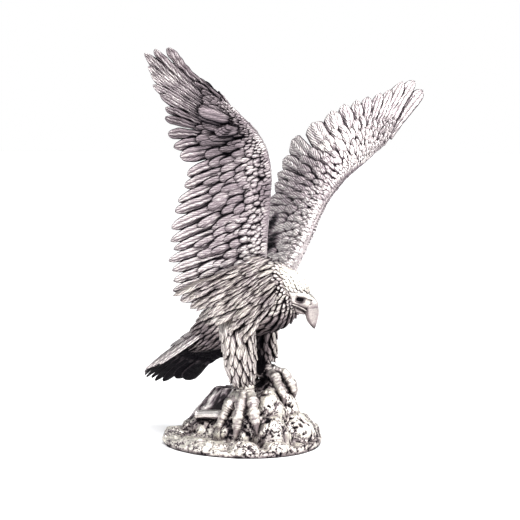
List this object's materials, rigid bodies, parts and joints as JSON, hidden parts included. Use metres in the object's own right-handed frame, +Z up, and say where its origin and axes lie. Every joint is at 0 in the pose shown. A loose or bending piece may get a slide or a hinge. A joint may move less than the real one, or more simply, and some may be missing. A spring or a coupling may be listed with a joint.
{
  "type": "eagle statue",
  "caption": "Silver-plated eagle alighting on a rock with both wings raised, cast in one piece with its base; it stands on a flat underside.",
  "frame": {"origin": "middle of the rock's flat underside, on the surface it stands on", "axes": "+X the way the eagle faces, +Y the eagle's left, +Z up"},
  "size_m": [0.2018, 0.363, 0.38],
  "materials": {
    "silver_plate": "antiqued silver plate: satin bright on the high relief, dark oxide in the recesses"
  },
  "bodies": {
    "root": {"eagle_statue": "silver_plate"}
  },
  "joints": []
}
